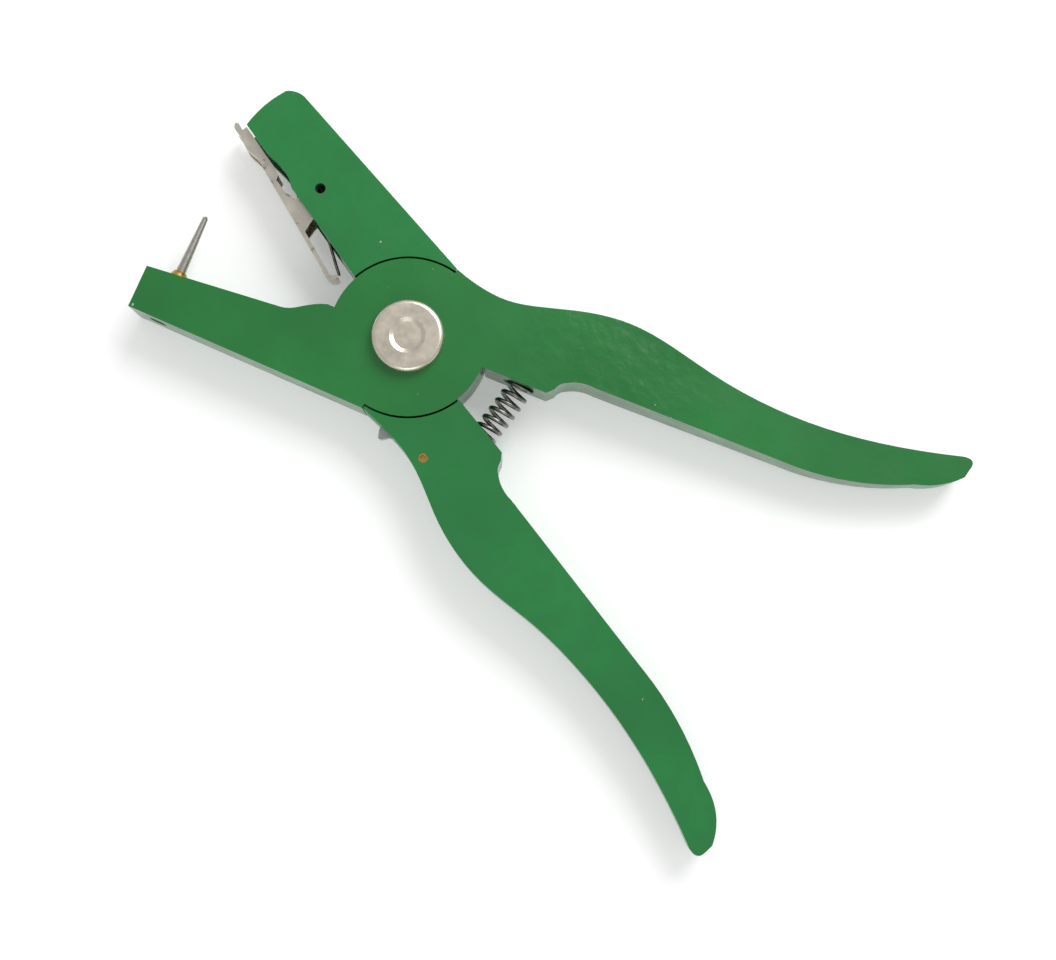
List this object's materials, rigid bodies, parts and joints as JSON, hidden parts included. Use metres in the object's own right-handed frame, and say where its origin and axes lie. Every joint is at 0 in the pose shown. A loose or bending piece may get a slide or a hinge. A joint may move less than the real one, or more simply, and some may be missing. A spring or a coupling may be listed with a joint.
{
  "type": "ear tag applicator",
  "caption": "Hand pliers that pierce an ear and join a two-part tag: crossed cast levers, a tapered pin on one jaw, a sprung tag clip on the other.",
  "frame": {"origin": "on the pivot axis, in the rear plane that the tool lies on", "axes": "+Z out of the face with the rivet head, +X along the tool towards the jaws, +Y towards the jaw with the pin"},
  "size_m": [0.2351, 0.1383, 0.0216],
  "materials": {
    "pin_lever_enamel": "gloss",
    "clip_lever_enamel": "gloss",
    "rivet_nickel": "polished",
    "bushing_steel": "satin",
    "washer_steel": "satin",
    "thrust_nylon": "matte",
    "pin_steel": "satin",
    "collar_brass": "satin",
    "plug_steel": "satin",
    "spring_steel": "satin",
    "clip_nickel": "polished",
    "roll_pin_steel": "matte",
    "clip_spring_steel": "satin",
    "latch_zinc": "satin",
    "latch_pin_brass": "satin",
    "latch_spring_steel": "satin"
  },
  "bodies": {
    "pin_side": {"pin_lever": "pin_lever_enamel", "pivot_rivet": "rivet_nickel", "pivot_bushing": "bushing_steel", "rear_washer": "washer_steel", "thrust_washer": "thrust_nylon", "applicator_pin": "pin_steel", "pin_collar": "collar_brass", "pin_plug_screw": "plug_steel", "return_spring": "spring_steel"},
    "clip_side": {"clip_lever": "clip_lever_enamel", "clip_roll_pin": "roll_pin_steel", "clip_spring": "clip_spring_steel", "latch_pin": "latch_pin_brass", "latch_spring": "latch_spring_steel"},
    "clip": {"tag_clip": "clip_nickel"},
    "latch": {"latch": "latch_zinc"}
  },
  "joints": [
    {"name": "lever_pivot", "type": "hinge", "parent": "pin_side", "child": "clip_side", "pos_m": [0, 0, 0.009], "axis": [0, 0, 1], "range_deg": [0, 26], "stiffness_Nm_per_rad": 3, "springref_deg": -20.05, "deforming": ["return_spring"]},
    {"name": "clip_hinge", "type": "hinge", "parent": "clip_side", "child": "clip", "pos_m": [0.04665, -0.01972, 0.009], "axis": [0, 0, 1], "range_deg": [0, 7], "stiffness_Nm_per_rad": 0.3, "springref_deg": -11.46, "deforming": ["clip_spring"]},
    {"name": "latch_pivot", "type": "hinge", "parent": "clip_side", "child": "latch", "pos_m": [-0.0245, 0.0254, 0.011], "axis": [0, 0, -1], "range_deg": [0, 9], "stiffness_Nm_per_rad": 0.02, "springref_deg": -11.46, "deforming": ["latch_spring"]}
  ]
}
